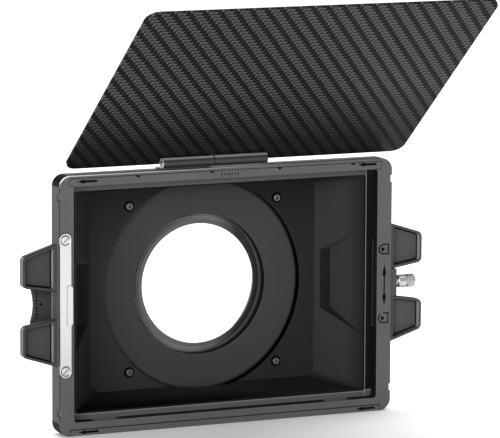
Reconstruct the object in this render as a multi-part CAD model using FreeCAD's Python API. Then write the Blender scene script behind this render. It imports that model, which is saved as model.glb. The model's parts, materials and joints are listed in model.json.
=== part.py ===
"""Clip-on matte box: rectangular lens shade with a hinged flag and a rotating lens adapter.

Millimetres. +X is right as seen from the front, +Y points backwards along the optical axis
and +Z is up. The origin is on the optical axis, at the shoulder of the lens thread.
Most sizes along Y are given as a depth behind the face of the front frame.
"""
import os

import FreeCAD
import Part
from math import cos, pi, radians, sin, sqrt

V = FreeCAD.Vector

# ---- driving dimensions -------------------------------------------------------------

# filter recess, ledge and front frame
FRONT_TO_SHOULDER = 42.0
FILTER_HALF_W, FILTER_HALF_H = 72.2, 51.2
RECESS_DEPTH = 5.8
LEDGE_HALF_W, LEDGE_HALF_H = 69.1, 48.3
LEDGE_BOTTOM = -48.7
LEDGE_BACK = 7.4
FRAME_HALF_W = 78.9
FRAME_RIGHT = 79.3
FRAME_TOP, FRAME_BOTTOM = 55.95, -57.1
FRAME_DEPTH = 9.8
FRAME_CORNER = 5.2
FRONT_EDGE_R, BACK_EDGE_CHAMFER = 0.6, 1.0
POCKET_HALF_W = 74.6
POCKET_TOP, POCKET_BOTTOM = 53.5, -50.6

# finger wings: half of one side, from the mid-line upwards
WING_TIP = 95.0
WING_ROOT_LOW, WING_ROOT_HIGH = 5.7, 27.1
WING_TIP_LOW, WING_TIP_HIGH = 8.4, 21.6
WING_CORNER = 2.6
WING_FRONT, WING_FLOOR, WING_BACK = 1.5, 4.1, 5.7
WING_RIM, WING_ROOT_RIM = 1.1, 2.1
WING_GROOVE_W, WING_GROOVE_FLOOR = 0.55, 5.0

# rails set into the frame's face
RAIL_DEPTH = 1.6
RAIL_GAP = 0.3
TOP_RAIL = (51.3, 54.5)
BOTTOM_RAIL = (-57.0, -54.6)
RAIL_LEFT, RAIL_RIGHT = -74.1, 73.8

# retainer plate on the left border
PLATE_X, PLATE_HALF_W, PLATE_HALF_H = -76.2, 2.6, 31.3
PLATE_PROUD, PLATE_SUNK = 0.6, 0.2
PLATE_CORNER = 2.4
PLATE_SCREW_Z = 28.4

# thumb screw and filter clamp bar
SCREW_DEPTH = 3.6
SHANK_R, KNOB_R = 2.0, 2.9
KNOB_START, KNURL_START, KNOB_END = 83.4, 87.9, 92.0
BOSS_END = 82.2
BAR_HALF_H = 19.3
INSERT_R, INSERT_START = 2.5, 76.2
BAR_BORE_R, TIP_R = 1.45, 1.4

# flag and its hinge
HINGE_Y, HINGE_Z = -1.0, 59.25
BARREL_R, PIN_R = 2.28, 1.2
BARREL_LEFT, BARREL_SPLIT, BARREL_RIGHT = -32.0, -7.8, 17.4
BARREL_GAP = 0.5
FLAG_RISE = 38.7
FLAG_W, FLAG_L, FLAG_T = 160.6, 119.4, 1.2
FLAG_CENTRE = 5.2
FLAG_CORNER = 5.5
FLAG_OFFSET = 2.65
FLAG_BEHIND = 4.98
LEAF_T, LEAF_BACK = 1.0, 7.0
BUSH_R, BUSH_PLAY = 1.7, 0.04

# shade housing
FLANGE_HALF_W, FLANGE_TOP, FLANGE_BOTTOM = 74.2, 50.2, -50.3
FLANGE_FRONT, FLANGE_BACK = 7.6, 9.4
SHADE_WALL = 1.8
REAR_HALF_W, REAR_HALF_H = 53.9, 44.3
SHADE_BACK = 27.0
FLARE_FRONT_Z, FLARE_BACK_Z = 24.3, 13.2
FLARE_BACK = 24.5
FLARE_DEPTH = 4.9

# ring carrier, adapter disc and lens adapter
PLATE_BACK = 29.0
RECESS_R = 47.3
FLANGE_BORE_R = 49.4
CARRIER_BACK = 33.5
CARRIER_R = 52.2
RING_SCREW_X, RING_SCREW_TOP, RING_SCREW_BOTTOM = 35.4, 37.1, -36.5
RING_HEAD_FACE, RING_HEAD_R, RING_HEAD_H = 26.2, 1.6, 1.9
DISC_FACE = 30.3
DISC_R, DISC_FLANGE_R = 46.7, 49.3
DISC_FLANGE_FRONT, DISC_FLANGE_BACK = 31.5, 33.1
DISC_BORE_R, HUB_R, HUB_BACK = 31.4, 34.4, 40.4
NOSE_R, NOSE_FRONT, NOSE_BASE = 26.7, 33.0, 37.7
ADAPTER_FLANGE_R, ADAPTER_BACK_BORE_R = 35.4, 31.9
LENS_THREAD_R, LENS_THREAD_L = 33.5, 3.2
RETAINER_BACK, RETAINER_BORE_R = 35.3, 40.0
FELT_R, FELT_BORE_R, FELT_T = 49.0, 41.0, 0.35

SHAPES = {}


# ---- small helpers -------------------------------------------------------------------

def y_at(depth):
    """Y of a plane that lies this far behind the frame's front face."""
    return depth - FRONT_TO_SHOULDER


def box(x0, x1, d0, d1, z0, z1):
    return Part.makeBox(x1 - x0, d1 - d0, z1 - z0, V(x0, y_at(d0), z0))


def rod_x(x0, x1, depth, z, r):
    return Part.makeCylinder(r, x1 - x0, V(x0, y_at(depth), z), V(1, 0, 0))


def rod_y(x, z, d0, d1, r):
    return Part.makeCylinder(r, d1 - d0, V(x, y_at(d0), z), V(0, 1, 0))


def rod_z(x, depth, z0, z1, r):
    return Part.makeCylinder(r, z1 - z0, V(x, y_at(depth), z0), V(0, 0, 1))


def union(shapes):
    return shapes[0].multiFuse(shapes[1:]).removeSplitter()


def cut_all(shape, tools):
    return shape.cut(Part.Compound(tools))


def rounded_outline(points, radii, place):
    """Closed wire through 2-D corners, each rounded by its radius; place maps (a, b) to 3-D.

    A radius of zero leaves that corner sharp.
    """
    count = len(points)
    flat = [V(a, b, 0) for a, b in points]
    bends = []
    for i in range(count):
        corner = flat[i]
        to_last = (flat[i - 1] - corner).normalize()
        to_next = (flat[(i + 1) % count] - corner).normalize()
        half = to_last.getAngle(to_next) / 2
        reach = radii[i] * cos(half) / sin(half)
        middle = corner + (to_last + to_next).normalize() * (radii[i] / sin(half) - radii[i])
        bends.append([place(p.x, p.y)
                      for p in (corner + to_last * reach, middle, corner + to_next * reach)])
    edges = []
    for i in range(count):
        start, middle, end = bends[i]
        if radii[i] > 0:
            edges.append(Part.Arc(start, middle, end).toShape())
        edges.append(Part.makeLine(end, bends[(i + 1) % count][0]))
    return Part.Wire(edges)


def slab(points, radii, d0, d1):
    """Plate parallel to the frame's face, from an outline of (x, z) corners."""
    wire = rounded_outline(points, radii, lambda x, z: V(x, y_at(d0), z))
    return Part.Face(wire).extrude(V(0, d1 - d0, 0))


def corners(x0, x1, z0, z1):
    return [(x0, z0), (x1, z0), (x1, z1), (x0, z1)]


def rounded_plate(x0, x1, z0, z1, r, d0, d1):
    return slab(corners(x0, x1, z0, z1), [r] * 4, d0, d1)


def frustum(front, back, d0, d1):
    """Ruled solid between two rounded rectangles, each given as (half_w, half_h, radius)."""
    wires = []
    for (half_w, half_h, r), depth in ((front, d0), (back, d1)):
        wires.append(rounded_outline(corners(-half_w, half_w, -half_h, half_h), [r] * 4,
                                     lambda x, z, y=y_at(depth): V(x, y, z)))
    return Part.makeLoft(wires, True, True)


def prism_z(points, z0, z1):
    """Prism along Z from (x, depth) points."""
    wire = Part.makePolygon([V(x, y_at(d), z0) for x, d in points + points[:1]])
    return Part.Face(wire).extrude(V(0, 0, z1 - z0))


def prism_x(points, x0, x1):
    """Prism along X from (depth, z) points."""
    wire = Part.makePolygon([V(x0, y_at(d), z) for d, z in points + points[:1]])
    return Part.Face(wire).extrude(V(x1 - x0, 0, 0))


def spun(profile):
    """Solid of revolution about the optical axis from (radius, depth) points."""
    wire = Part.makePolygon([V(r, y_at(d), 0) for r, d in profile + profile[:1]])
    return Part.Face(wire).revolve(V(0, 0, 0), V(0, 1, 0), 360)


def mirrored_x(shape):
    return shape.mirror(V(0, 0, 0), V(1, 0, 0))


def mirrored_z(shape):
    return shape.mirror(V(0, 0, 0), V(0, 0, 1))


def softened(shape, chosen, size):
    """Fillet the edges for which chosen(edge) is true."""
    return shape.makeFillet(size, [e for e in shape.Edges if chosen(e)])


def on_plane_y(edge, depth):
    bounds = edge.BoundBox
    return bounds.YLength < 1e-6 and abs(bounds.YMin - y_at(depth)) < 1e-6


def socket_screw(x, z, head_d, head_r, head_h, shank_r, end_d):
    """Socket-head screw along +Y whose head starts at depth head_d, with a hexagonal socket."""
    head = rod_y(x, z, head_d, head_d + head_h, head_r)
    head = softened(head, lambda e: on_plane_y(e, head_d), 0.3)
    shank = rod_y(x, z, head_d + head_h, end_d, shank_r)
    size = head_r * 0.55
    hexagon = [(x + size * cos(k * pi / 3), z + size * sin(k * pi / 3)) for k in range(6)]
    wire = Part.makePolygon([V(a, y_at(head_d), b) for a, b in hexagon + hexagon[:1]])
    socket = Part.Face(wire).extrude(V(0, head_h * 0.6, 0))
    return union([head, shank]).cut(socket)


def rear_screw(x, z, seat_d, head_r, head_h, shank_r, tip_d):
    """Screw driven in from behind: its head rests on seat_d and its tip reaches tip_d."""
    head = rod_y(x, z, seat_d, seat_d + head_h, head_r)
    head = softened(head, lambda e: on_plane_y(e, seat_d + head_h), 0.3)
    cross = [box(x - 0.8, x + 0.8, seat_d + 0.5 * head_h, seat_d + head_h, z - 0.2, z + 0.2),
             box(x - 0.2, x + 0.2, seat_d + 0.5 * head_h, seat_d + head_h, z - 0.8, z + 0.8)]
    return cut_all(union([head, rod_y(x, z, tip_d, seat_d, shank_r)]), cross)


def holes_y(places, d0, d1, r):
    return [rod_y(x, z, d0, d1, r) for x, z in places]


def save(name, shape):
    """Write one node; a list of solids becomes a group in the same file."""
    if isinstance(shape, list):
        shape = Part.Compound(shape)
    assert shape.isValid(), name
    assert shape.Volume > 0, name
    SHAPES[name] = shape
    shape.exportStep(os.path.join("parts", name + ".step"))


# ---- places of the fasteners ---------------------------------------------------------

PLATE_SCREWS = [(PLATE_X, -PLATE_SCREW_Z), (PLATE_X, PLATE_SCREW_Z)]
PLATE_SHANK_R = 1.0
KEEPER_X, KEEPER_T = 75.9, 1.2
TAB_T = 1.6
SMALL_SHANK_R, SMALL_HEAD_R, SMALL_HEAD_H = 0.8, 1.5, 1.0
KEEPER_SCREWS_RIGHT = [(KEEPER_X, z) for z in (-42.0, 0.0, 42.0)]
KEEPER_SCREWS_LEFT = [(-KEEPER_X, z) for z in (-43.0, -21.0, 21.0, 43.0)]
TAB_SCREWS = [(-72.3, -6.0), (-72.3, 6.0)]
CARRIER_SCREWS = [(sx * 58.4, sz * 28.0) for sx in (-1, 1) for sz in (-1, 1)]
CARRIER_SHANK_R = 1.0
RING_SCREWS = [(sx * RING_SCREW_X, z) for sx in (-1, 1) for z in (RING_SCREW_BOTTOM, RING_SCREW_TOP)]
RING_SHANK_R, RING_EAR_R = 1.1, 3.8
LEAF_SCREW_X = (-28.5, -12.5)
LEAF_SCREW_DEPTH, LEAF_HEAD_R, LEAF_SHANK_R = 5.1, 1.6, 0.9
FLAG_SCREW_X = (-2.0, 5.8, 13.6)
FLAG_SHANK_R, FLAG_HEAD_R, FLAG_HEAD_H = 0.9, 1.7, 0.9


# ---- front frame ---------------------------------------------------------------------

def wing_pocket(inset, d0, d1):
    """Space inside the upper right wing's rim, drawn in by inset on every side."""
    root = FRAME_HALF_W - 1.0
    left, right = FRAME_HALF_W + WING_ROOT_RIM + inset, WING_TIP - WING_RIM - inset
    low_slope = (WING_TIP_LOW - WING_ROOT_LOW) / (WING_TIP - root)
    high_slope = (WING_TIP_HIGH - WING_ROOT_HIGH) / (WING_TIP - root)
    low = [WING_ROOT_LOW + low_slope * (x - root) + (WING_RIM + inset) * sqrt(1 + low_slope ** 2)
           for x in (left, right)]
    high = [WING_ROOT_HIGH + high_slope * (x - root) - (WING_RIM + inset) * sqrt(1 + high_slope ** 2)
            for x in (left, right)]
    outline = [(left, low[0]), (right, low[1]), (right, high[1]), (left, high[0])]
    near, far = max(0.6 - inset, 0.1), max(1.4 - inset, 0.1)
    return slab(outline, [near, far, far, near], d0, d1)


def wing():
    """Upper right wing: a trapezium with a raised rim around a pocket with a grooved floor."""
    root = FRAME_HALF_W - 1.0
    back_chamfer = 0.5
    outline = [(root, WING_ROOT_LOW), (WING_TIP, WING_TIP_LOW), (WING_TIP, WING_TIP_HIGH),
               (root, WING_ROOT_HIGH)]
    body = slab(outline, [0, WING_CORNER, WING_CORNER, 0], WING_FRONT, WING_BACK)
    body = softened(body, lambda e: on_plane_y(e, WING_FRONT) and e.BoundBox.XMax > FRAME_HALF_W, 0.25)
    back = [e for e in body.Edges if on_plane_y(e, WING_BACK) and e.BoundBox.XMax > FRAME_HALF_W]
    body = body.makeChamfer(back_chamfer, back)
    groove = wing_pocket(0, WING_FLOOR - 0.5, WING_GROOVE_FLOOR)
    groove = groove.cut(wing_pocket(WING_GROOVE_W, WING_FLOOR - 1, WING_GROOVE_FLOOR + 1))
    return cut_all(body, [wing_pocket(0, WING_FRONT - 1, WING_FLOOR), groove])


def rail_end_radius(rail):
    """A rail's left end is almost a half round."""
    return (rail[1] - rail[0]) / 2 - 0.05


def rail_slot(rail, z0):
    """Room for a rail, down to z0: round at the left, nearly square at the right."""
    round_r = rail_end_radius(rail) + RAIL_GAP * 0.8
    return slab(corners(RAIL_LEFT - RAIL_GAP, RAIL_RIGHT + RAIL_GAP, z0, rail[1] + RAIL_GAP),
                [round_r, 0.4, 0.4, round_r], -1.0, RAIL_DEPTH)


def side_notches():
    """Grooves across the front edge of both side faces, near each corner."""
    deep, half_h = 0.9, 1.6
    notches = []
    for x in (-FRAME_HALF_W, FRAME_RIGHT):
        for z in (46.7, -46.9):
            notches.append(box(x - deep, x + deep, -1, 3.6, z - half_h, z + half_h))
    return notches


def bottom_pockets():
    """Two shallow pockets in the lower wall of the filter recess, where a plate filter rests."""
    half_w, sink = 5.8, 0.8
    return [box(x - half_w, x + half_w, 0.9, RECESS_DEPTH - 0.9,
                -FILTER_HALF_H - sink, -FILTER_HALF_H + 1) for x in (-56.5, 53.9)]


def front_frame():
    body = rounded_plate(-FRAME_HALF_W, FRAME_RIGHT, FRAME_BOTTOM, FRAME_TOP, FRAME_CORNER,
                         0, FRAME_DEPTH)
    body = softened(body, lambda e: on_plane_y(e, 0), FRONT_EDGE_R)
    body = body.makeChamfer(BACK_EDGE_CHAMFER, [e for e in body.Edges if on_plane_y(e, FRAME_DEPTH)])
    upper_right = wing()
    wings = [upper_right, mirrored_x(upper_right), mirrored_z(upper_right),
             mirrored_x(mirrored_z(upper_right))]
    boss = box(FRAME_HALF_W - 1, BOSS_END, 0.7, 6.7, -WING_ROOT_LOW - 0.3, WING_ROOT_LOW + 0.3)
    body = union([body, boss] + wings)
    tools = [
        rounded_plate(-FILTER_HALF_W, FILTER_HALF_W, -FILTER_HALF_H, FILTER_HALF_H, 1.4,
                      -1, RECESS_DEPTH),
        rounded_plate(-LEDGE_HALF_W, LEDGE_HALF_W, LEDGE_BOTTOM, LEDGE_HALF_H, 1.2,
                      RECESS_DEPTH - 1, FRAME_DEPTH),
        rounded_plate(-POCKET_HALF_W, POCKET_HALF_W, POCKET_BOTTOM, POCKET_TOP, 2.2,
                      LEDGE_BACK, FRAME_DEPTH + 1),
        rail_slot(TOP_RAIL, TOP_RAIL[0] - RAIL_GAP),
        rail_slot(BOTTOM_RAIL, FRAME_BOTTOM - 3),
        slab(corners(PLATE_X - PLATE_HALF_W - 0.05, PLATE_X + PLATE_HALF_W + 0.05,
                     -PLATE_HALF_H - 0.05, PLATE_HALF_H + 0.05), [PLATE_CORNER] * 4, -1, PLATE_SUNK),
        box(FILTER_HALF_W - 1, 74.5, 1.0, RECESS_DEPTH, -BAR_HALF_H - 0.4, BAR_HALF_H + 0.4),
        rod_x(74, 77, SCREW_DEPTH, 0, SHANK_R + 0.3),
        rod_x(INSERT_START, BOSS_END + 1, SCREW_DEPTH, 0, INSERT_R),
        box(-FRAME_HALF_W - 1, -POCKET_HALF_W + 1, FLANGE_BACK - 0.3, FRAME_DEPTH + 1, -10.4, 13.4),
    ]
    tools += side_notches() + bottom_pockets()
    tools += holes_y(PLATE_SCREWS, 0, 5.0, PLATE_SHANK_R)
    tools += holes_y(KEEPER_SCREWS_RIGHT + KEEPER_SCREWS_LEFT, 6.3, FRAME_DEPTH + 1, SMALL_SHANK_R)
    tools += [rod_z(x, LEAF_SCREW_DEPTH, FRAME_TOP - 1.9, FRAME_TOP + 1, LEAF_SHANK_R)
              for x in LEAF_SCREW_X]
    save("front_frame", cut_all(body, tools))


def rail_notches(z_top):
    """Triangular marks and the end step cut into a rail's upper edge."""
    marks = []
    for x in (-42.2, 24.6):
        marks.append([(x - 1.6, z_top + 0.1), (x + 1.6, z_top + 0.1), (x, z_top - 1.1)])
    marks.append([(-9.4, z_top + 0.1), (-6.8, z_top + 0.1), (-6.8, z_top - 1.2)])
    marks.append([(58.6, z_top + 0.1), (61.4, z_top + 0.1), (60.6, z_top - 0.9), (60.0, z_top - 0.9)])
    tools = []
    for points in marks:
        wire = Part.makePolygon([V(x, y_at(-0.5), z) for x, z in points + points[:1]])
        tools.append(Part.Face(wire).extrude(V(0, 1.2, 0)))
    return tools


def rails():
    for name, (z0, z1), notches in (("top_rail", TOP_RAIL, rail_notches(TOP_RAIL[1])),
                                    ("bottom_rail", BOTTOM_RAIL, [])):
        round_r = rail_end_radius((z0, z1))
        rail = slab(corners(RAIL_LEFT, RAIL_RIGHT, z0, z1), [round_r, 0.3, 0.3, round_r],
                    0, RAIL_DEPTH)
        save(name, cut_all(rail, notches) if notches else rail)


def retainer_plate():
    """Bright plate on the left border, with a raised lip half-way up and two countersinks."""
    plate = slab(corners(PLATE_X - PLATE_HALF_W, PLATE_X + PLATE_HALF_W, -PLATE_HALF_H, PLATE_HALF_H),
                 [PLATE_CORNER] * 4, -PLATE_PROUD, PLATE_SUNK)
    near, far, half_h, bevel = PLATE_X + 0.6, PLATE_X + 3.2, 8.7, 0.8
    lip = [(near, -half_h), (far - bevel, -half_h), (far, bevel - half_h),
           (far, half_h - bevel), (far - bevel, half_h), (near, half_h)]
    wire = Part.makePolygon([V(x, y_at(-PLATE_PROUD - 0.5), z) for x, z in lip + lip[:1]])
    body = union([plate, Part.Face(wire).extrude(V(0, 1.1, 0))])
    tools = holes_y(PLATE_SCREWS, -2, 2, PLATE_SHANK_R)
    tools += [Part.makeCone(2.3, 1.5, 0.65, V(x, y_at(-PLATE_PROUD), z), V(0, 1, 0))
              for x, z in PLATE_SCREWS]
    save("retainer_plate", cut_all(body, tools))
    screws = []
    for x, z in PLATE_SCREWS:
        head = Part.makeCone(1.95, 1.15, 0.65, V(x, y_at(-PLATE_PROUD), z), V(0, 1, 0))
        dome = Part.makeCone(1.6, 1.95, 0.15, V(x, y_at(-PLATE_PROUD - 0.15), z), V(0, 1, 0))
        shank = rod_y(x, z, -PLATE_PROUD + 0.6, 4.8, PLATE_SHANK_R)
        slot = box(-1.4, 1.4, -PLATE_PROUD - 0.3, -PLATE_PROUD + 0.25, -0.22, 0.22)
        slot.rotate(V(0, 0, 0), V(0, 1, 0), -45)
        slot.translate(V(x, 0, z))
        screws.append(union([head, dome, shank]).cut(slot))
    save("retainer_screws", screws)


def keepers():
    """Strips screwed on behind the frame's sides, which hold the shade's flange in."""
    inner, outer = 70.9, FRAME_HALF_W - BACK_EDGE_CHAMFER - 0.1
    spans = (("keeper_right", inner, outer, -48.0, 48.0),
             ("keeper_left_upper", -outer, -inner, 15.0, 48.0),
             ("keeper_left_lower", -outer, -inner, -48.0, -15.0))
    places = KEEPER_SCREWS_RIGHT + KEEPER_SCREWS_LEFT
    for name, x0, x1, z0, z1 in spans:
        strip = rounded_plate(x0, x1, z0, z1, 1.0, FRAME_DEPTH, FRAME_DEPTH + KEEPER_T)
        save(name, cut_all(strip, holes_y(places, FRAME_DEPTH - 1, FRAME_DEPTH + 2, SMALL_SHANK_R)))
    save("keeper_screws", [rear_screw(x, z, FRAME_DEPTH + KEEPER_T, SMALL_HEAD_R, SMALL_HEAD_H,
                                      SMALL_SHANK_R, 6.5)
                           for x, z in places])


# ---- filter clamp --------------------------------------------------------------------

def clamp():
    insert = rod_x(INSERT_START, BOSS_END, SCREW_DEPTH, 0, INSERT_R)
    save("screw_insert", insert.cut(rod_x(75, BOSS_END + 1, SCREW_DEPTH, 0, SHANK_R + 0.04)))

    bar = box(FILTER_HALF_W + 0.3, 74.3, 1.3, RECESS_DEPTH - 0.3, -BAR_HALF_H, BAR_HALF_H)
    bar = softened(bar, lambda e: e.BoundBox.ZLength > BAR_HALF_H and e.BoundBox.XMin < 73, 0.5)
    save("clamp_bar", bar.cut(rod_x(73.2, 75, SCREW_DEPTH, 0, BAR_BORE_R)))

    tip = rod_x(73.4, 74.5, SCREW_DEPTH, 0, TIP_R)
    shank = rod_x(74.4, KNOB_START, SCREW_DEPTH, 0, SHANK_R)
    knob = rod_x(KNOB_START, KNOB_END, SCREW_DEPTH, 0, KNOB_R)
    ends = [e for e in knob.Edges if e.BoundBox.XLength < 1e-6]
    knob = knob.makeChamfer(0.5, ends)
    groove = rod_x(KNURL_START - 0.7, KNURL_START, SCREW_DEPTH, 0, KNOB_R + 1)
    groove = groove.cut(rod_x(KNURL_START - 0.8, KNURL_START + 0.1, SCREW_DEPTH, 0, KNOB_R - 0.35))
    tools = [groove]
    teeth = 28
    for k in range(teeth):
        cutter = box(KNURL_START, KNOB_END + 1, SCREW_DEPTH - 0.16, SCREW_DEPTH + 0.16,
                     KNOB_R - 0.22, KNOB_R + 1)
        cutter.rotate(V(0, y_at(SCREW_DEPTH), 0), V(1, 0, 0), 360.0 * k / teeth)
        tools.append(cutter)
    save("thumb_screw", cut_all(union([tip, shank, knob]), tools))


# ---- hinge and flag ------------------------------------------------------------------

def hinge():
    end = BARREL_SPLIT - BARREL_GAP / 2
    knuckle = rod_x(BARREL_LEFT, end, HINGE_Y, HINGE_Z, BARREL_R)
    knuckle = softened(knuckle, lambda e: e.BoundBox.XMax < BARREL_LEFT + 0.1, 0.4)
    leaf = box(BARREL_LEFT + 0.6, end - 0.15, 0.8, LEAF_BACK, FRAME_TOP, FRAME_TOP + LEAF_T)
    web = prism_x([(-0.4, HINGE_Z - 1.6), (0.8, FRAME_TOP), (3.4, FRAME_TOP), (3.4, FRAME_TOP + LEAF_T),
                   (1.1, HINGE_Z - 0.5)], BARREL_LEFT + 0.6, end - 0.15)
    fixed = union([knuckle, leaf, web])
    tools = [rod_x(BARREL_LEFT - 1, BARREL_SPLIT, HINGE_Y, HINGE_Z, PIN_R)]
    screws = []
    for x in LEAF_SCREW_X:
        seat = FRAME_TOP + LEAF_T - 0.7
        head = Part.makeCone(LEAF_SHANK_R, LEAF_HEAD_R, 0.7, V(x, y_at(LEAF_SCREW_DEPTH), seat), V(0, 0, 1))
        tools += [head, rod_z(x, LEAF_SCREW_DEPTH, FRAME_TOP - 1, FRAME_TOP + LEAF_T, LEAF_SHANK_R)]
        shank = rod_z(x, LEAF_SCREW_DEPTH, FRAME_TOP - 1.8, seat, LEAF_SHANK_R)
        slot = box(x - 1.3, x + 1.3, LEAF_SCREW_DEPTH - 0.2, LEAF_SCREW_DEPTH + 0.2,
                   FRAME_TOP + LEAF_T - 0.4, FRAME_TOP + LEAF_T + 0.1)
        screws.append(union([head, shank]).cut(slot))
    save("hinge_leaf_fixed", cut_all(fixed, tools))
    save("hinge_leaf_screws", screws)
    pin = rod_x(BARREL_LEFT + 0.2, BARREL_RIGHT - 0.8, HINGE_Y, HINGE_Z, PIN_R)
    save("hinge_pin", pin)


def raised(shape):
    """Turn a shape from the flat flag position up to the flag's rest angle."""
    turned = shape.copy()
    turned.rotate(V(0, y_at(HINGE_Y), HINGE_Z), V(1, 0, 0), -FLAG_RISE)
    return turned


def flag():
    """Flag, moving knuckle and leaf, drawn flat with the flag pointing forwards, then raised."""
    axis_y, axis_z = y_at(HINGE_Y), HINGE_Z
    under = axis_z + FLAG_OFFSET
    top = under + FLAG_T
    back = axis_y + FLAG_BEHIND
    front = back - FLAG_L
    left, right = FLAG_CENTRE - FLAG_W / 2, FLAG_CENTRE + FLAG_W / 2
    knuckle_left = BARREL_SPLIT + BARREL_GAP / 2

    wire = rounded_outline([(left, front), (right, front), (right, back), (left, back)],
                           [FLAG_CORNER] * 4, lambda x, y: V(x, y, under))
    panel = Part.Face(wire).extrude(V(0, 0, FLAG_T))
    notch = Part.makeBox(BARREL_RIGHT - knuckle_left + 0.8, FLAG_BEHIND + 2, 5,
                         V(knuckle_left - 0.4, axis_y - 0.6, under - 1))
    screw_y = axis_y - 9.0
    blind = [Part.makeCylinder(FLAG_SHANK_R, 2, V(x, screw_y, under + 0.3)) for x in FLAG_SCREW_X]
    save("flag_panel", raised(cut_all(panel, [notch] + blind)))

    barrel = rod_x(knuckle_left, BARREL_RIGHT, HINGE_Y, HINGE_Z, BARREL_R)
    arm = Part.makeBox(BARREL_RIGHT - knuckle_left - 0.6, 2.0, top + LEAF_T - axis_z - 1.0,
                       V(knuckle_left + 0.3, axis_y - 0.3, axis_z + 1.0))
    leaf = Part.makeBox(BARREL_RIGHT - knuckle_left - 0.6, 15.7, LEAF_T,
                        V(knuckle_left + 0.3, axis_y - 14.0, top))
    moving = union([barrel, arm, leaf])
    tools = [rod_x(knuckle_left - 1, BARREL_RIGHT - 0.6, HINGE_Y, HINGE_Z, BUSH_R)]
    tools += [Part.makeCylinder(FLAG_SHANK_R, 3, V(x, screw_y, top - 1)) for x in FLAG_SCREW_X]
    save("hinge_leaf_moving", raised(cut_all(moving, tools)))

    screws = []
    for x in FLAG_SCREW_X:
        head = Part.makeCylinder(FLAG_HEAD_R, FLAG_HEAD_H, V(x, screw_y, top + LEAF_T))
        shank = Part.makeCylinder(FLAG_SHANK_R, top + LEAF_T - under - 0.3,
                                  V(x, screw_y, under + 0.3))
        slot = Part.makeBox(2.4, 0.4, 0.5, V(x - 1.2, screw_y - 0.2, top + LEAF_T + 0.5))
        screws.append(raised(union([head, shank]).cut(slot)))
    save("flag_screws", screws)

    bush = rod_x(knuckle_left, BARREL_RIGHT - 0.65, HINGE_Y, HINGE_Z, BUSH_R)
    bore = rod_x(knuckle_left - 1, BARREL_RIGHT, HINGE_Y, HINGE_Z, PIN_R + BUSH_PLAY)
    save("friction_bush", bush.cut(bore))


# ---- shade housing -------------------------------------------------------------------

def wall_x(depth):
    """Half-width of the shade's inner space at a depth."""
    share = (depth - FLANGE_FRONT) / (SHADE_BACK - FLANGE_FRONT)
    return LEDGE_HALF_W + share * (REAR_HALF_W - LEDGE_HALF_W)


def flare(grow, deeper):
    """Wedge that widens a side wall: flared in height, and deeper in X towards the back."""
    front = FLANGE_FRONT - 0.5
    back = FLARE_BACK + grow
    floor_front = wall_x(front) + deeper
    floor_back = wall_x(FLARE_BACK) + FLARE_DEPTH + deeper
    plan = prism_z([(wall_x(SHADE_BACK) - 1, front), (floor_front, front), (floor_back, back),
                    (wall_x(SHADE_BACK) - 1, back)], -40, 40)
    side = prism_x([(front, -FLARE_FRONT_Z - grow), (back, -FLARE_BACK_Z - grow),
                    (back, FLARE_BACK_Z + grow), (front, FLARE_FRONT_Z + grow)], 40, 80)
    return plan.common(side)


def shade_housing():
    inner_front = (LEDGE_HALF_W, LEDGE_HALF_H, 2.0)
    inner_back = (REAR_HALF_W, REAR_HALF_H, 5.0)
    outer_front = (LEDGE_HALF_W + SHADE_WALL, LEDGE_HALF_H + SHADE_WALL, 3.8)
    outer_back = (REAR_HALF_W + SHADE_WALL, REAR_HALF_H + SHADE_WALL, 6.8)
    outer = frustum(outer_front, outer_back, FLANGE_FRONT, SHADE_BACK)
    inner = frustum(inner_front, inner_back, FLANGE_FRONT, SHADE_BACK)
    flange = rounded_plate(-FLANGE_HALF_W, FLANGE_HALF_W, FLANGE_BOTTOM, FLANGE_TOP, 2.0,
                           FLANGE_FRONT, FLANGE_BACK)
    bulge = flare(SHADE_WALL, SHADE_WALL)
    bulge = bulge.cut(box(0, 90, 0, FLANGE_FRONT, -60, 60))
    relief = rod_y(0, 0, 22.5, SHADE_BACK, RECESS_R + SHADE_WALL)
    ears = [box(side - 3.5, side + 3.5, SHADE_BACK - 2, SHADE_BACK, -34.0, 34.0)
            for side in (-57.5, 57.5)]
    body = union([outer, flange, bulge, mirrored_x(bulge), relief] + ears)
    pocket = flare(0, 0)
    tools = [inner, pocket, mirrored_x(pocket), rod_y(0, 0, 24.3, SHADE_BACK + 1, RECESS_R)]
    tools += holes_y(TAB_SCREWS, FLANGE_FRONT - 1, FLANGE_BACK + 1, SMALL_SHANK_R)
    tools += holes_y(CARRIER_SCREWS, SHADE_BACK - 1.7, SHADE_BACK + 1, CARRIER_SHANK_R)
    save("shade_housing", cut_all(body, tools))


def release_tab():
    """Tab on the shade's flange that reaches out between the left wings, with a finger scoop."""
    reach, root = -88.3, -70.4
    tab = rounded_plate(reach, root, -10.0, 10.0, 1.0, FLANGE_BACK, FLANGE_BACK + TAB_T)
    scoop_r, scoop_depth = 21.0, 1.3
    scoop = rod_y(reach - scoop_r + scoop_depth, -0.4, FLANGE_BACK - 1, FLANGE_BACK + 3, scoop_r)
    holes = holes_y(TAB_SCREWS, FLANGE_BACK - 1, FLANGE_BACK + 3, SMALL_SHANK_R)
    save("release_tab", cut_all(tab, [scoop] + holes))
    save("release_tab_screws", [rear_screw(x, z, FLANGE_BACK + TAB_T, SMALL_HEAD_R, SMALL_HEAD_H,
                                           SMALL_SHANK_R, 8.0)
                                for x, z in TAB_SCREWS])


# ---- ring carrier, disc and lens adapter ---------------------------------------------

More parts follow.
